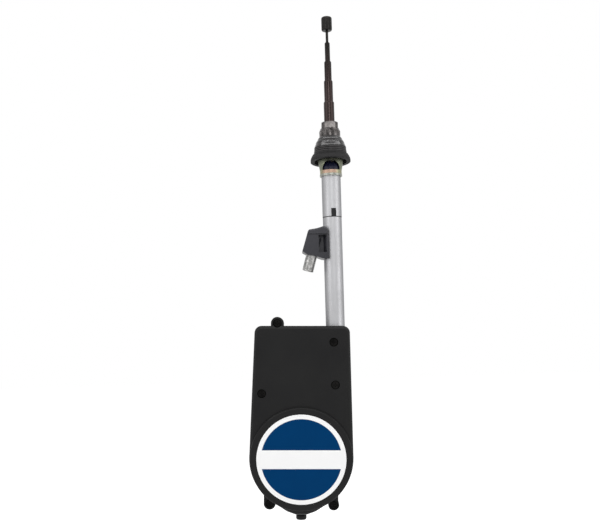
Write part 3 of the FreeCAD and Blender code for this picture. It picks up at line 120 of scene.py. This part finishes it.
# Floor, and how bright floor and surroundings are.
FLOOR_Z = -0.45
FLOOR_HALF = 4.0
FLOOR_COLOUR = (0.85, 0.85, 0.85, 1.0)
FLOOR_GLOW = 0.88
WORLD_LIGHT = 0.16

# Lamps: turn to the right of the front and rise in degrees, distance, width, height and radiance.
TUBE_AIM = (0.0, 0.0, -0.08)
SIDE_BOXES = {
    "left_box": (-56.0, 4.0, 1.05, 0.50, 1.30, 1.5),
    "right_box": (63.0, 4.0, 1.05, 0.46, 1.30, 2.0),
}
HEAD_AIM = (0.0, 0.0, 0.0)
HEAD_LAMPS = {
    "front_top": (6.0, 48.5, 1.10, 0.95, 0.22, 6.5),
    "left_top": (-52.0, 48.5, 1.10, 0.95, 0.22, 7.0),
    "right_top": (64.0, 48.5, 1.10, 0.95, 0.22, 5.5),
    "front_low": (3.0, 17.0, 0.95, 0.24, 0.20, 8.0),
}


# Shading helpers: every finish is a principled shader fed by noise on Object coordinates.
class Shader:
    """A material's node tree with one principled shader in it."""

    def __init__(self, name):
        self.material = bpy.data.materials.new(name)
        self.material.use_nodes = True
        self.tree = self.material.node_tree
        self.bsdf = self.tree.nodes["Principled BSDF"]
        self.coords = self.add("ShaderNodeTexCoord").outputs["Object"]

    def add(self, kind, **settings):
        """A new node, with its settings."""
        new = self.tree.nodes.new(kind)
        for key, value in settings.items():
            setattr(new, key, value)
        return new

    def link(self, source, target):
        """Joins an output to an input, or writes a plain value into the input."""
        if isinstance(source, bpy.types.NodeSocket):
            self.tree.links.new(source, target)
        else:
            target.default_value = source

    def set(self, **values):
        """Writes plain values or links into the principled shader's sockets."""
        for key, value in values.items():
            self.link(value, self.bsdf.inputs[key.replace("_", " ")])

    def placed(self, scale=(1, 1, 1), turn=(0, 0, 0), shift=(0, 0, 0)):
        """Object coordinates moved, turned and stretched."""
        mapping = self.add("ShaderNodeMapping")
        self.link(self.coords, mapping.inputs["Vector"])
        mapping.inputs["Scale"].default_value = scale
        mapping.inputs["Rotation"].default_value = turn
        mapping.inputs["Location"].default_value = shift
        return mapping.outputs["Vector"]

    def noise(self, scale, vector=None, detail=3.0, rough=0.5, distortion=0.0):
        """Cloudy value from 0 to 1, with features of about 1/scale metres."""
        tex = self.add("ShaderNodeTexNoise")
        self.link(self.coords if vector is None else vector, tex.inputs["Vector"])
        tex.inputs["Scale"].default_value = scale
        tex.inputs["Detail"].default_value = detail
        tex.inputs["Roughness"].default_value = rough
        tex.inputs["Distortion"].default_value = distortion
        return tex.outputs["Fac"]

    def spread(self, value, low=NOISE_LOW, high=NOISE_HIGH, start=0.0, end=1.0, smooth=False):
        """Maps a value from low..high to start..end, clamped."""
        mapped = self.add("ShaderNodeMapRange")
        mapped.interpolation_type = "SMOOTHSTEP" if smooth else "LINEAR"
        self.link(value, mapped.inputs["Value"])
        ends = {"From Min": low, "From Max": high, "To Min": start, "To Max": end}
        for key, number in ends.items():
            self.link(number, mapped.inputs[key])
        return mapped.outputs["Result"]

    def math(self, operation, first, second=0.0):
        """One arithmetic step."""
        step = self.add("ShaderNodeMath", operation=operation)
        self.link(first, step.inputs[0])
        self.link(second, step.inputs[1])
        return step.outputs[0]

    def blend(self, share, first, second):
        """Mixes two colours."""
        mix = self.add("ShaderNodeMix", data_type="RGBA")
        self.link(share, mix.inputs["Factor"])
        for colour, socket in ((first, mix.inputs[6]), (second, mix.inputs[7])):
            self.link(colour if isinstance(colour, bpy.types.NodeSocket) else (*colour, 1.0), socket)
        return mix.outputs[2]

    def axis(self, name, vector=None):
        """One of the coordinates."""
        split = self.add("ShaderNodeSeparateXYZ")
        self.link(self.coords if vector is None else vector, split.inputs[0])
        return split.outputs[name]

    def bump(self, height, depth):
        """Bumps of a depth in metres."""
        node = self.add("ShaderNodeBump")
        node.inputs["Distance"].default_value = depth
        self.link(height, node.inputs["Height"])
        self.link(node.outputs["Normal"], self.bsdf.inputs["Normal"])


def moulded_plastic(name, colour, worn, rough=0.5, specular=0.4):
    """Moulded plastic: fine spark-eroded grain, cloudy sheen and slightly rubbed patches."""
    s = Shader(name)
    cloud = s.noise(28.0, detail=4.0)
    fine = s.noise(1500.0, detail=2.0)
    rubbed = s.spread(s.noise(90.0, detail=6.0, rough=0.7), 0.55, 0.75)
    sheen = s.spread(cloud, start=rough - 0.05, end=rough + 0.06)
    s.set(
        Base_Color=s.blend(s.spread(cloud), colour, worn),
        Roughness=s.math("ADD", sheen, s.math("MULTIPLY", rubbed, -0.06)),
        Specular_IOR_Level=specular,
    )
    s.bump(fine, 0.06 * MM)
    return s.material


def glossy_head(name):
    """Black head moulding: polished on the dome, satin and duller on the ribs under it."""
    s = Shader(name)
    cloud = s.noise(90.0, detail=5.0, rough=0.65)
    polished = s.spread(s.axis("Z"), SATIN_TOP_Z, POLISH_LOW_Z)
    gloss = s.spread(polished, 0.0, 1.0, 0.46, 0.20)
    s.set(
        Base_Color=s.blend(s.spread(cloud, 0.35, 0.7), (0.004, 0.0035, 0.0035), (0.013, 0.011, 0.0115)),
        Roughness=s.math("ADD", gloss, s.spread(cloud, start=-0.03, end=0.05)),
        Specular_IOR_Level=0.42,
    )
    s.bump(s.noise(260.0, detail=3.0), 0.06 * MM)
    return s.material


def rubber(name, colour, worn):
    """Matt rubber: dusty bloom in patches over a fine open grain."""
    s = Shader(name)
    bloom = s.noise(60.0, detail=5.0, rough=0.65)
    s.set(
        Base_Color=s.blend(s.spread(bloom, 0.35, 0.75), colour, worn),
        Roughness=s.spread(bloom, start=0.62, end=0.78),
        Specular_IOR_Level=0.25,
    )
    s.bump(s.noise(900.0, detail=3.0), 0.08 * MM)
    return s.material


def coated_metal(name, colour, bright, rough):
    """Plated or blackened metal with a mottled gloss and fine handling marks."""
    s = Shader(name)
    spots = s.noise(220.0, detail=5.0, rough=0.6)
    cloud = s.noise(35.0, detail=3.0)
    s.set(
        Base_Color=s.blend(s.spread(s.math("MULTIPLY", spots, cloud), 0.15, 0.4), colour, bright),
        Roughness=s.spread(spots, start=rough - 0.06, end=rough + 0.08),
        Metallic=1.0,
    )
    s.bump(spots, 0.03 * MM)
    return s.material


def blackened_mast(name):
    """Blackened mast tubes: neutral black at the tip, browned towards the foot, streaked lengthwise."""
    s = Shader(name)
    streaks = s.noise(900.0, s.placed(scale=(1.0, 1.0, 0.03)), detail=3.0)
    cloud = s.noise(60.0, s.placed(scale=(1.0, 1.0, 0.3)), detail=4.0)
    browned = s.spread(s.axis("Z"), BROWN_TOP_Z, BROWN_FULL_Z)
    tone = s.blend(browned, (0.0098, 0.0092, 0.0086), (0.028, 0.021, 0.0202))
    worn = s.blend(browned, (0.020, 0.019, 0.018), (0.052, 0.039, 0.037))
    s.set(
        Base_Color=s.blend(s.spread(s.math("MULTIPLY", streaks, cloud), 0.15, 0.4), tone, worn),
        Roughness=s.spread(cloud, start=0.24, end=0.34),
        Metallic=1.0,
    )
    s.bump(streaks, 0.006 * MM)
    return s.material


def drawn_aluminium(name):
    """Drawn bare aluminium: grain along its length, grey oxide patches, scuffs, painted shade in the
    joint.
    """
    s = Shader(name)
    lengthwise = s.placed(scale=(1.0, 1.0, 0.02))
    grain = s.noise(1400.0, lengthwise, detail=3.0)
    wide_grain = s.noise(420.0, s.placed(scale=(1.0, 1.0, 0.05)), detail=3.0)
    oxide = s.noise(55.0, s.placed(scale=(1.0, 1.0, 0.45)), detail=6.0, rough=0.62)
    scuff = s.noise(240.0, s.placed(scale=(1.0, 1.0, 2.2)), detail=6.0, rough=0.7)
    scuff = s.spread(scuff, 0.62, 0.78)
    tone = s.blend(s.spread(oxide, 0.35, 0.7), (0.365, 0.365, 0.375), (0.30, 0.30, 0.307))
    tone = s.blend(s.spread(wide_grain, 0.35, 0.65, 0.0, 0.4), tone, (0.405, 0.405, 0.417))
    tone = s.blend(s.math("MULTIPLY", scuff, 0.35), tone, (0.22, 0.22, 0.226))
    # A near-black line painted round the joint of sleeve and tube: painted shade of the gap between
    # them.
    from_joint = s.math("ABSOLUTE", s.math("SUBTRACT", s.axis("Z"), TUBE_JOINT_Z))
    joint_shade = s.spread(from_joint, JOINT_SHADE_HALF, JOINT_SHADE_END, 0.85, 0.0)
    tone = s.blend(joint_shade, tone, (0.03, 0.03, 0.031))
    s.set(
        Base_Color=tone,
        Metallic=1.0,
        Roughness=s.spread(oxide, start=0.44, end=0.54),
    )
    s.bsdf.inputs["Specular Tint"].default_value = (0.45, 0.45, 0.46, 1.0)
    s.bump(grain, 0.012 * MM)
    return s.material


def passivated_steel(name):
    """Zinc plate with a yellow passivation that shades to olive, copper and pale grey."""
    s = Shader(name)
    drift = s.noise(75.0, detail=3.0, distortion=0.6)
    flecks = s.noise(420.0, detail=4.0)
    tone = s.blend(s.spread(drift, 0.38, 0.62), (0.165, 0.185, 0.145), (0.215, 0.225, 0.16))
    height = s.axis("Z")
    band = s.math(
        "MULTIPLY",
        s.spread(height, *GOLD_LOW_Z, 0.0, 1.0, True),
        s.spread(height, *GOLD_TOP_Z, 1.0, 0.0, True),
    )
    aside = s.math("ABSOLUTE", s.math("SUBTRACT", s.axis("X"), COPPER_X))
    copper = s.math("MULTIPLY", band, s.spread(aside, *COPPER_HALF_X, 1.0, 0.0, True))
    tone = s.blend(s.math("MULTIPLY", band, 0.8), tone, (0.30, 0.29, 0.18))
    tone = s.blend(s.math("MULTIPLY", copper, 0.75), tone, (0.38, 0.23, 0.18))
    s.set(
        Base_Color=tone,
        Metallic=0.85,
        Roughness=s.spread(flecks, start=0.36, end=0.5),
    )
    s.bump(flecks, 0.03 * MM)
    return s.material


def label_print(name):
    """Printed label: white rim, blue upper and lower fields and a bare white band between them."""
    s = Shader(name)
    level = s.placed(
        turn=(0, -HOUSING_LEAN, 0),
        shift=-(Matrix.Rotation(-HOUSING_LEAN, 4, "Y") @ HOUSING_PLACE),
    )
    x = s.axis("X", level)
    z = s.axis("Z", level)
    radius = s.math("SQRT", s.math("ADD", s.math("MULTIPLY", x, x), s.math("MULTIPLY", z, z)))
    inside = s.spread(radius, LABEL_FIELD_R - LABEL_EDGE, LABEL_FIELD_R + LABEL_EDGE, 1.0, 0.0)
    off_middle = s.math("ABSOLUTE", z)
    off_band = s.spread(off_middle, LABEL_BAND_HALF - LABEL_EDGE, LABEL_BAND_HALF + LABEL_EDGE)
    blue = s.math("MULTIPLY", inside, off_band)
    cloud = s.noise(40.0, detail=4.0)
    white = s.blend(s.spread(cloud), (0.98, 0.98, 0.98), (0.96, 0.96, 0.96))
    ink = s.blend(s.spread(cloud), (0.0, 0.040, 0.138), (0.0, 0.036, 0.126))
    s.set(
        Base_Color=s.blend(blue, white, ink),
        Roughness=s.spread(cloud, start=0.42, end=0.52),
        Specular_IOR_Level=0.04,
    )
    s.bump(s.noise(700.0, detail=2.0), 0.01 * MM)
    return s.material


def plain_metal(name, colour, rough):
    """Machined metal with turning marks."""
    s = Shader(name)
    marks = s.noise(800.0, detail=3.0)
    s.set(
        Base_Color=s.blend(s.spread(marks), colour, tuple(0.8 * c for c in colour)),
        Metallic=1.0,
        Roughness=s.spread(marks, start=rough, end=rough + 0.12),
    )
    s.bump(marks, 0.01 * MM)
    return s.material


def worn_nickel(name):
    """Old nickel plate: bright where rubbed, grey and mottled elsewhere."""
    s = Shader(name)
    wear = s.noise(380.0, detail=6.0, rough=0.7)
    cloud = s.noise(120.0, detail=3.0)
    tone = s.blend(s.spread(wear, 0.4, 0.62), (0.15, 0.15, 0.146), (0.40, 0.395, 0.387))
    tone = s.blend(s.spread(cloud, 0.5, 0.7, 0.0, 0.5), tone, (0.10, 0.10, 0.096))
    s.set(Base_Color=tone, Metallic=1.0, Roughness=s.spread(wear, 0.35, 0.65, 0.42, 0.22))
    s.bump(wear, 0.05 * MM)
    return s.material


FINISHES = {
    "mast_black": blackened_mast("mast_black"),
    "black_metal": coated_metal("black_metal", (0.026, 0.024, 0.023), (0.17, 0.16, 0.157), rough=0.22),
    "head_plastic": glossy_head("head_plastic"),
    "gasket_rubber": rubber("gasket_rubber", (0.006, 0.0058, 0.006), (0.014, 0.0135, 0.014)),
    "passivated_steel": passivated_steel("passivated_steel"),
    "navy_plastic": moulded_plastic(
        "navy_plastic", (0.004, 0.005, 0.020), (0.008, 0.009, 0.030), rough=0.35, specular=0.25
    ),
    "grey_metal": coated_metal("grey_metal", (0.20, 0.21, 0.19), (0.36, 0.36, 0.32), rough=0.4),
    "aluminium": drawn_aluminium("aluminium"),
    "inner_plastic": moulded_plastic(
        "inner_plastic", (0.007, 0.007, 0.008), (0.012, 0.012, 0.013), specular=0.2
    ),
    "brass": plain_metal("brass", (0.70, 0.52, 0.22), 0.25),
    "socket_plastic": moulded_plastic(
        "socket_plastic", (0.018, 0.018, 0.0225), (0.027, 0.027, 0.033), rough=0.38, specular=0.3
    ),
    "nickel": worn_nickel("nickel"),
    "white_plastic": moulded_plastic("white_plastic", (0.70, 0.69, 0.64), (0.62, 0.61, 0.56)),
    "housing_plastic": moulded_plastic(
        "housing_plastic", (0.0045, 0.0045, 0.0048), (0.0075, 0.0075, 0.0075), specular=0.16
    ),
    "label": label_print("label"),
    "screw_black": coated_metal("screw_black", (0.005, 0.005, 0.005), (0.012, 0.0115, 0.011), rough=0.5),
    "steel": plain_metal("steel", (0.55, 0.55, 0.56), 0.25),
    "lining": rubber("lining", (0.12, 0.09, 0.07), (0.16, 0.12, 0.09)),
    "magnet": moulded_plastic("magnet", (0.03, 0.03, 0.032), (0.05, 0.05, 0.052), rough=0.6),
    "board_green": moulded_plastic("board_green", (0.02, 0.10, 0.04), (0.03, 0.13, 0.05)),
}


def dress_cad():
    """Puts each node's finish, by the record's material slot, into the slots of its mesh."""
    for item in frame["record"]["subparts"]:
        finish = FINISHES[item["material_slot"]]
        mesh = nodes[item["node"]].data
        for index in range(len(mesh.materials)):
            mesh.materials[index] = finish
        if not mesh.materials:
            mesh.materials.append(finish)


dress_cad()


def turned_piece(name, radius, height, hollow, place=Matrix(), flute_depth=0.0, flutes=0):
    """Surface of revolution on a grid of outline step k and angle a.

    The radius is radius[k] less flute_depth[k] * (1 - cos(flutes * a)) / 2, the height is
    height[k], and the point is (radius * cos a, radius * sin a, height) moved by place. A hollow
    piece's outline closes on itself; a full one gets a flat face at each end.
    """
    steps = max(STEPS_PER_FLUTE * flutes, ROUND_STEPS)
    angle = np.linspace(0.0, 2.0 * np.pi, steps, endpoint=False)
    wave = (1.0 - np.cos(flutes * angle)) / 2.0
    depth = np.broadcast_to(flute_depth, len(radius))
    r = np.asarray(radius)[:, None] - depth[:, None] * wave[None, :]
    level = np.broadcast_to(np.asarray(height)[:, None], r.shape)
    points = np.stack((r * np.cos(angle), r * np.sin(angle), level), axis=-1).reshape(-1, 3)
    turn = np.array(place.to_3x3())
    points = points @ turn.T + np.array(place.translation)
    rows = len(radius)
    k, i = np.meshgrid(np.arange(rows if hollow else rows - 1), np.arange(steps), indexing="ij")
    above = (k + 1) % rows * steps
    beside = (i + 1) % steps
    quads = np.stack((k * steps + i, k * steps + beside, above + beside, above + i), axis=-1)
    faces = quads.reshape(-1, 4).tolist()
    if not hollow:
        faces += [list(range(steps - 1, -1, -1)), list(range((rows - 1) * steps, rows * steps))]
    mesh = bpy.data.meshes.new(name)
    mesh.from_pydata(points.tolist(), [], faces)
    mesh.shade_smooth()
    mesh.set_sharp_from_angle(angle=SHARP_EDGE)
    piece = bpy.data.objects.new(name, mesh)
    bpy.context.scene.collection.objects.link(piece)
    return piece


def fluted_knob():
    """Grip knob on the mast's tip: quarter-round shoulders and fine upright flutes between them."""
    bend = np.linspace(0.0, np.pi / 2, 7)
    low = KNOB_LOW_Z + KNOB_ROUND * (1.0 - np.cos(bend))
    top = KNOB_TOP_Z - KNOB_ROUND * (1.0 - np.cos(bend[::-1]))
    shoulder = KNOB_R - KNOB_ROUND * (1.0 - np.sin(bend))
    radius = np.concatenate((shoulder, shoulder[::-1]))
    height = np.concatenate((low, top))
    depth = np.where(radius > KNOB_R - KNOB_FLUTE_RUN_OUT, KNOB_FLUTE_DEPTH, 0.0)
    knob = turned_piece("fluted_knob", radius, height, False, flute_depth=depth, flutes=KNOB_FLUTES)
    knob.data.materials.append(FINISHES["mast_black"])
    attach(knob, "tip")
    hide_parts("tip_knob")


def rolled_barrel():
    """Aerial socket barrel: rolled lip, a shallow groove behind it and a straight wall to the block."""
    outside = (
        (4.62, 0.0), (4.85, 0.08), (4.98, 0.3), (5.0, 1.5),
        (4.86, 1.8), (4.86, 2.3), (5.0, 2.6), (5.0, 30.0),
    )
    inside = ((4.3, 30.0), (4.3, 9.0), (4.55, 9.0), (4.55, 0.1))
    outline = np.array(outside + inside) * MM
    place = Matrix.Translation(SOCKET_END) @ Matrix.Rotation(SOCKET_LEAN, 4, "Y")
    barrel = turned_piece("rolled_barrel", outline[:, 0], outline[:, 1], True, place)
    barrel.data.materials.append(FINISHES["nickel"])
    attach(barrel, "antenna")
    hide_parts("socket_barrel")


def lipped_dome():
    """Head dome, a turned shell: rolled lip round the crown, short upright wall, swelling shoulder."""
    outside = (
        (14.3, 12.5), (14.25, 12.9), (14.05, 13.5), (13.75, 14.25), (13.4, 15.05), (13.05, 15.8),
        (12.9, 16.3), (12.85, 16.9), (12.6, 17.4), (12.2, 18.1), (11.9, 18.6), (11.45, 19.1),
        (11.25, 19.35), (11.2, 19.6), (11.0, 20.2), (10.75, 20.8), (10.4, 21.2), (9.7, 22.1),
        (DOME_BORE_R, 22.1),
    )
    inside = ((DOME_BORE_R, 19.5), (9.9, 19.5), (10.5, 18.4), (11.2, 16.8), (12.7, 13.2), (12.7, 12.5))
    outline = np.array(outside + inside) * MM
    dome = turned_piece("lipped_dome", outline[:, 0], outline[:, 1], True)
    dome.data.materials.append(FINISHES["head_plastic"])
    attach(dome, "antenna")
    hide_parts("domed_cap")


def drive_cable():
    """Nylon cable as two upright cylinders: one stays under the tip's lowest place, one rides above it.

    The upper one is a hair thinner and slides down inside the lower one as the mast goes in.
    """
    meet = CABLE_TOP_Z - CABLE_IN_FERRULE - TIP_STILL_SINKS
    lower = ("cable_at_drum", CABLE_R, CABLE_LOW_Z, meet, "antenna")
    upper = ("cable_at_tip", CABLE_R - CABLE_SLIDE_GAP, meet, CABLE_TOP_Z, "tip")
    for name, radius, low, top, body in (lower, upper):
        cable = turned_piece(name, (radius, radius), (low, top), False)
        cable.data.materials.append(FINISHES["white_plastic"])
        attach(cable, body)
    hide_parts("drive_cable_run")


fluted_knob()
rolled_barrel()
lipped_dome()
drive_cable()


def set_camera():
    """Camera at the photograph's viewing angle."""
    data = bpy.data.cameras.new("camera")
    data.lens = CAMERA_LENS
    data.sensor_width = CAMERA_SENSOR
    data.sensor_fit = "HORIZONTAL"
    data.shift_y = CAMERA_SHIFT_UP
    data.clip_start = 0.01
    data.clip_end = 30.0
    right = Vector((math.cos(HOUSING_LEAN), 0.0, -math.sin(HOUSING_LEAN)))
    ahead = Vector((0.0, 1.0, 0.0))
    up = right.cross(ahead)
    turn = Matrix((right, up, -ahead)).transposed().to_4x4()
    camera = bpy.data.objects.new("camera", data)
    camera.matrix_world = Matrix.Translation(CAMERA_PLACE) @ turn
    bpy.context.scene.collection.objects.link(camera)
    bpy.context.scene.camera = camera


def soft_light(name, place, aim, width, height, radiance):
    """Rectangular softbox of a given radiance, turned to a point."""
    data = bpy.data.lights.new(name, "AREA")
    data.shape = "RECTANGLE"
    data.size = width
    data.size_y = height
    data.energy = radiance * math.pi * width * height
    lamp = bpy.data.objects.new(name, data)
    lamp.location = place
    lamp.rotation_euler = (Vector(aim) - Vector(place)).to_track_quat("-Z", "Y").to_euler()
    bpy.context.scene.collection.objects.link(lamp)


def around(turn_deg, rise_deg, reach):
    """Point at a distance from the part: turned to the right of the front, and raised."""
    turn, rise = math.radians(turn_deg), math.radians(rise_deg)
    level = reach * math.cos(rise)
    return (level * math.sin(turn), -level * math.cos(turn), reach * math.sin(rise))


def set_lights():
    """Upright softboxes beside the tube for its light bands, and the lamps over the head."""
    for aim, lamps in ((TUBE_AIM, SIDE_BOXES), (HEAD_AIM, HEAD_LAMPS)):
        for name, (turn, rise, reach, width, height, radiance) in lamps.items():
            soft_light(name, around(turn, rise, reach), aim, width, height, radiance)


def set_world():
    """Pale surroundings: white to the camera and in reflections, a plain grey level as light."""
    world = bpy.data.worlds.new("surroundings")
    world.use_nodes = True
    tree = world.node_tree
    background = tree.nodes["Background"]
    background.inputs["Color"].default_value = (1.0, 1.0, 1.0, 1.0)
    rays = tree.nodes.new("ShaderNodeLightPath")
    level = tree.nodes.new("ShaderNodeMapRange")
    level.inputs["To Min"].default_value = WORLD_LIGHT
    level.inputs["To Max"].default_value = 1.0
    seen = rays.outputs["Is Camera Ray"]
    for kind in ("Is Glossy Ray", "Is Transmission Ray"):
        either = tree.nodes.new("ShaderNodeMath")
        either.operation = "MAXIMUM"
        tree.links.new(seen, either.inputs[0])
        tree.links.new(rays.outputs[kind], either.inputs[1])
        seen = either.outputs[0]
    tree.links.new(seen, level.inputs["Value"])
    tree.links.new(level.outputs["Result"], background.inputs["Strength"])
    bpy.context.scene.world = world


def pale_floor():
    """Floor under the part: white to the camera where it is lit, and it keeps the soft shadow."""
    mesh = bpy.data.meshes.new("floor")
    half = FLOOR_HALF
    corners = [(x, y, FLOOR_Z) for x, y in ((-half, -half), (half, -half), (half, half), (-half, half))]
    mesh.from_pydata(corners, [], [(0, 1, 2, 3)])
    floor = bpy.data.objects.new("floor", mesh)
    bpy.context.scene.collection.objects.link(floor)
    s = Shader("floor")
    s.set(Base_Color=FLOOR_COLOUR, Roughness=0.9, Specular_IOR_Level=0.0)
    rays = s.add("ShaderNodeLightPath")
    seen = s.math("MAXIMUM", rays.outputs["Is Camera Ray"], rays.outputs["Is Glossy Ray"])
    seen = s.math("MAXIMUM", seen, rays.outputs["Is Transmission Ray"])
    s.bsdf.inputs["Emission Color"].default_value = (1.0, 1.0, 1.0, 1.0)
    s.link(s.math("MULTIPLY", seen, FLOOR_GLOW), s.bsdf.inputs["Emission Strength"])
    mesh.materials.append(s.material)


set_camera()
set_lights()
set_world()
pale_floor()

bpy.context.scene.view_settings.view_transform = "Standard"
